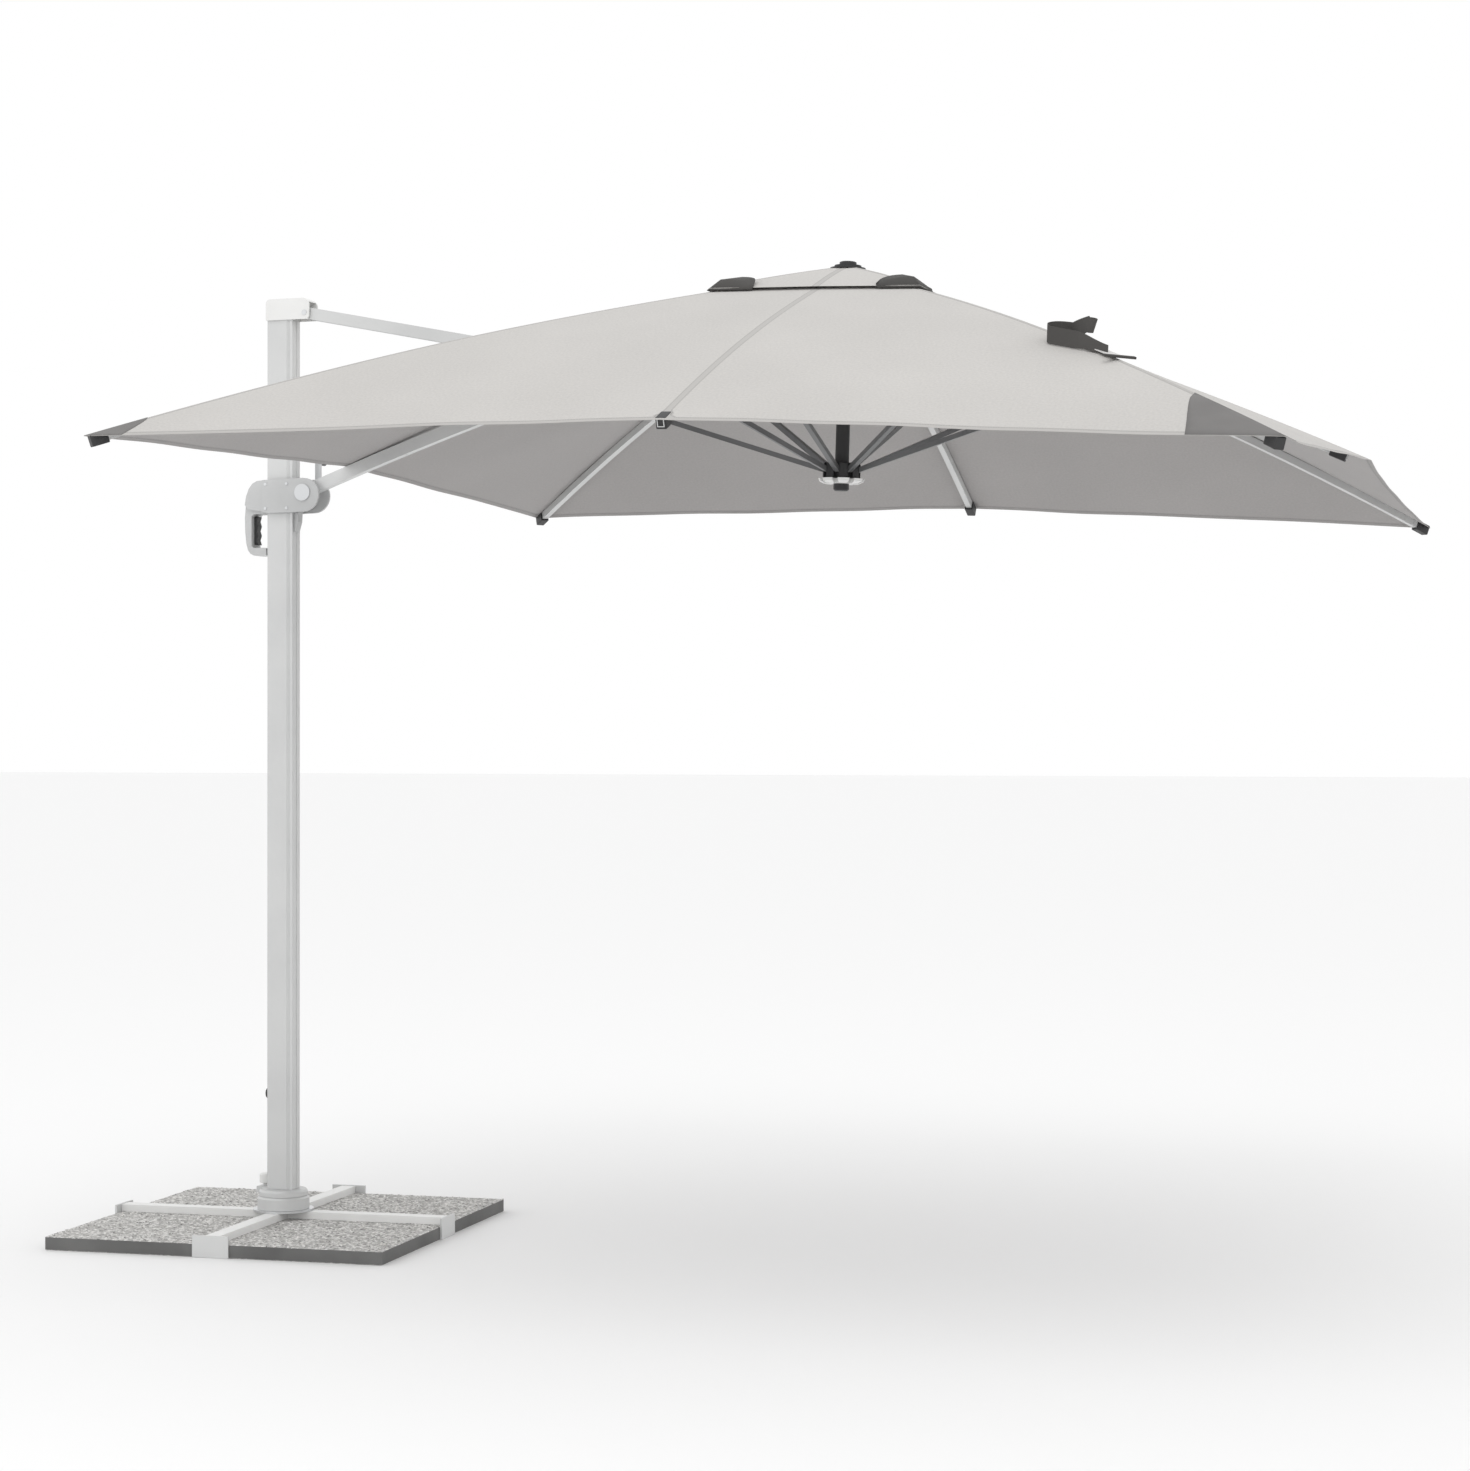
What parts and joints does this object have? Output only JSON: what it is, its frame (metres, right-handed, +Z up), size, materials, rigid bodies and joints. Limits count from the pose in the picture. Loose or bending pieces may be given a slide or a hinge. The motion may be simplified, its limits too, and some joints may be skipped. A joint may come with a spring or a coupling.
{
  "type": "cantilever parasol",
  "caption": "Side-post square garden parasol: arched boom and blade stay on a swivelling mast, crank slider, folding ribs and struts, slab-weighted cross base.",
  "frame": {"origin": "on the ground, on the mast's and the swivel's axis, under the centre of the base cross", "axes": "+Z up along the mast; +X from the mast towards the canopy; +Y towards the far side"},
  "size_m": [3.7537, 3, 2.8046],
  "materials": {
    "powder": "satin powder coat",
    "white": "satin",
    "steel": "brushed",
    "dark": "matte",
    "stone": "rough exposed aggregate",
    "cloth": "matte woven",
    "strut_grey": "satin",
    "silver": "satin",
    "white_plastic": "satin"
  },
  "bodies": {
    "base": {"slab_1": "stone", "slab_2": "stone", "slab_3": "stone", "slab_4": "stone", "cross_bar_long": "white", "cross_bar_far": "white", "cross_bar_near": "white", "end_bracket_right": "powder", "end_bracket_far": "powder", "end_bracket_left": "powder", "end_bracket_near": "powder", "hub_plate": "steel", "hub_housing": "powder"},
    "mast": {"mast_socket": "powder", "mast": "powder", "mast_cap": "white_plastic"},
    "swivel_lock": {"swivel_lock": "white_plastic"},
    "mast_knob": {"mast_knob": "dark"},
    "stay": {"stay_blade_near": "powder", "stay_blade_far": "powder", "stay_pin": "steel"},
    "slider": {"slider_housing": "silver", "pivot_disc_near": "steel", "pivot_disc_far": "steel", "slider_handle": "silver"},
    "latch_lever": {"latch_lever": "dark"},
    "crank": {"crank_arm": "steel"},
    "crank_knob": {"crank_knob": "dark"},
    "boom": {"boom": "powder", "boom_axle": "steel"},
    "crown": {"crown": "dark", "vent_flap": "cloth", "finial": "dark"},
    "runner": {"runner_hub": "dark", "runner_dish": "white_plastic", "runner_knob": "dark", "runner_tube": "dark"},
    "strut_inner": {"strut_inner": "strut_grey"},
    "rib_near": {"rib_near": "powder", "panel_near": "cloth"},
    "strut_near": {"strut_near": "strut_grey"},
    "rib_near_outer": {"rib_near_outer": "powder", "panel_near_outer": "cloth"},
    "strut_near_outer": {"strut_near_outer": "strut_grey"},
    "rib_outer": {"rib_outer": "powder", "panel_outer": "cloth"},
    "strut_outer": {"strut_outer": "strut_grey"},
    "rib_far_outer": {"rib_far_outer": "powder", "panel_far_outer": "cloth"},
    "strut_far_outer": {"strut_far_outer": "strut_grey"},
    "rib_far": {"rib_far": "powder", "panel_far": "cloth"},
    "strut_far": {"strut_far": "strut_grey"},
    "rib_far_inner": {"rib_far_inner": "powder", "panel_far_inner": "cloth"},
    "strut_far_inner": {"strut_far_inner": "strut_grey"},
    "rib_near_inner": {"rib_near_inner": "powder", "panel_near_inner": "cloth"},
    "strut_near_inner": {"strut_near_inner": "strut_grey"}
  },
  "joints": [
    {"name": "mast_swivel", "type": "hinge", "parent": "base", "child": "mast", "pos_m": [0, 0, 0.1], "axis": [0, 0, 1], "continuous": true},
    {"name": "swivel_lock_pull", "type": "slide", "parent": "mast", "child": "swivel_lock", "axis": [0, 0, 1], "range_m": [0, 0.012], "stiffness_N_per_m": 300},
    {"name": "mast_knob_turn", "type": "hinge", "parent": "mast", "child": "mast_knob", "pos_m": [-0.041, 0, 0.407], "axis": [1, 0, 0], "continuous": true},
    {"name": "slider_travel", "type": "slide", "parent": "mast", "child": "slider", "axis": [0, 0, 1], "range_m": [-1.509, 0], "deforming": ["panel_near", "panel_near_outer", "panel_outer", "panel_far_outer", "panel_far", "panel_far_inner", "panel_near_inner", "vent_flap"]},
    {"name": "boom_pivot", "type": "hinge", "parent": "slider", "child": "boom", "pos_m": [0.082, 0, 2.205], "axis": [0, 1, 0], "range_deg": [-63.67, 0]},
    {"name": "stay_pivot", "type": "hinge", "parent": "mast", "child": "stay", "pos_m": [0.083, 0, 2.7326], "axis": [0, 1, 0], "range_deg": [0, 70.36]},
    {"name": "crown_pivot", "type": "hinge", "parent": "boom", "child": "crown", "pos_m": [1.682, 0, 2.69], "axis": [0, 1, 0], "range_deg": [0, 61.82]},
    {"name": "runner_slide", "type": "slide", "parent": "crown", "child": "runner", "axis": [0.0324, 0, 0.9995], "range_m": [-1.06203, 0]},
    {"name": "rib_near_hinge", "type": "hinge", "parent": "crown", "child": "rib_near", "pos_m": [1.75562, -0.055, 2.748], "axis": [0.9995, 0, -0.0324], "range_deg": [0, 67.05]},
    {"name": "strut_near_hinge", "type": "hinge", "parent": "rib_near", "child": "strut_near", "pos_m": [1.74678, -0.8, 2.47518], "axis": [0.9995, 0, -0.0324], "range_deg": [-134.68, 0]},
    {"name": "rib_near_outer_hinge", "type": "hinge", "parent": "crown", "child": "rib_near_outer", "pos_m": [1.79406, -0.03932, 2.74675], "axis": [0.7146, 0.6992, -0.0232], "range_deg": [0, 71.35]},
    {"name": "strut_near_outer_hinge", "type": "hinge", "parent": "rib_near_outer", "child": "strut_near_outer", "pos_m": [2.30832, -0.57194, 2.5333], "axis": [0.7146, 0.6992, -0.0232], "range_deg": [-133.18, 0]},
    {"name": "rib_outer_hinge", "type": "hinge", "parent": "crown", "child": "rib_outer", "pos_m": [1.81059, 0, 2.74622], "axis": [0, 1, 0], "range_deg": [0, 67.05]},
    {"name": "strut_outer_hinge", "type": "hinge", "parent": "rib_outer", "child": "strut_outer", "pos_m": [2.54648, 0, 2.45277], "axis": [0, 1, 0], "range_deg": [-134.22, 0]},
    {"name": "rib_far_outer_hinge", "type": "hinge", "parent": "crown", "child": "rib_far_outer", "pos_m": [1.79406, 0.03932, 2.74675], "axis": [-0.7146, 0.6992, 0.0232], "range_deg": [0, 71.35]},
    {"name": "strut_far_outer_hinge", "type": "hinge", "parent": "rib_far_outer", "child": "strut_far_outer", "pos_m": [2.30832, 0.57194, 2.5333], "axis": [-0.7146, 0.6992, 0.0232], "range_deg": [-133.18, 0]},
    {"name": "rib_far_hinge", "type": "hinge", "parent": "crown", "child": "rib_far", "pos_m": [1.75562, 0.055, 2.748], "axis": [-0.9995, 0, 0.0324], "range_deg": [0, 67.05]},
    {"name": "strut_far_hinge", "type": "hinge", "parent": "rib_far", "child": "strut_far", "pos_m": [1.74678, 0.8, 2.47518], "axis": [-0.9995, 0, 0.0324], "range_deg": [-134.68, 0]},
    {"name": "rib_far_inner_hinge", "type": "hinge", "parent": "crown", "child": "rib_far_inner", "pos_m": [1.71633, 0.03846, 2.74927], "axis": [-0.699, -0.7148, 0.0227], "range_deg": [0, 71.35]},
    {"name": "strut_far_inner_hinge", "type": "hinge", "parent": "rib_far_inner", "child": "strut_far_inner", "pos_m": [1.1779, 0.5595, 2.57455], "axis": [-0.699, -0.7148, 0.0227], "range_deg": [-132.59, 0]},
    {"name": "rib_near_inner_hinge", "type": "hinge", "parent": "crown", "child": "rib_near_inner", "pos_m": [1.71633, -0.03846, 2.74927], "axis": [0.699, -0.7148, -0.0227], "range_deg": [0, 71.35]},
    {"name": "strut_near_inner_hinge", "type": "hinge", "parent": "rib_near_inner", "child": "strut_near_inner", "pos_m": [1.1779, -0.5595, 2.57455], "axis": [0.699, -0.7148, -0.0227], "range_deg": [-132.59, 0]},
    {"name": "strut_inner_hinge", "type": "hinge", "parent": "boom", "child": "strut_inner", "pos_m": [0.94603, 0, 2.46487], "axis": [0, 1, 0], "range_deg": [0, 124.38]},
    {"name": "crank_turn", "type": "hinge", "parent": "slider", "child": "crank", "pos_m": [0.082, 0, 2.205], "axis": [0, 1, 0], "continuous": true},
    {"name": "crank_knob_spin", "type": "hinge", "parent": "crank", "child": "crank_knob", "pos_m": [0.082, 0, 2.296], "axis": [0, 1, 0], "continuous": true},
    {"name": "latch_squeeze", "type": "hinge", "parent": "slider", "child": "latch_lever", "pos_m": [-0.0885, 0, 2.13], "axis": [0, -1, 0], "range_deg": [0, 7], "stiffness_Nm_per_rad": 1.5}
  ],
  "couplings": [
    {"joint": "boom_pivot", "follows": "slider_travel", "rad_per_m": 0.7359},
    {"joint": "stay_pivot", "follows": "slider_travel", "rad_per_m": -0.81324},
    {"joint": "crown_pivot", "follows": "slider_travel", "rad_per_m": -0.71443},
    {"joint": "runner_slide", "follows": "slider_travel", "ratio": 0.70347},
    {"joint": "rib_near_hinge", "follows": "slider_travel", "rad_per_m": -0.77493},
    {"joint": "strut_near_hinge", "follows": "slider_travel", "rad_per_m": 1.5572},
    {"joint": "rib_near_outer_hinge", "follows": "slider_travel", "rad_per_m": -0.82466},
    {"joint": "strut_near_outer_hinge", "follows": "slider_travel", "rad_per_m": 1.5398},
    {"joint": "rib_outer_hinge", "follows": "slider_travel", "rad_per_m": -0.77493},
    {"joint": "strut_outer_hinge", "follows": "slider_travel", "rad_per_m": 1.5518},
    {"joint": "rib_far_outer_hinge", "follows": "slider_travel", "rad_per_m": -0.82466},
    {"joint": "strut_far_outer_hinge", "follows": "slider_travel", "rad_per_m": 1.5398},
    {"joint": "rib_far_hinge", "follows": "slider_travel", "rad_per_m": -0.77493},
    {"joint": "strut_far_hinge", "follows": "slider_travel", "rad_per_m": 1.5572},
    {"joint": "rib_far_inner_hinge", "follows": "slider_travel", "rad_per_m": -0.82466},
    {"joint": "strut_far_inner_hinge", "follows": "slider_travel", "rad_per_m": 1.533},
    {"joint": "rib_near_inner_hinge", "follows": "slider_travel", "rad_per_m": -0.82466},
    {"joint": "strut_near_inner_hinge", "follows": "slider_travel", "rad_per_m": 1.533},
    {"joint": "strut_inner_hinge", "follows": "slider_travel", "rad_per_m": -1.438}
  ]
}
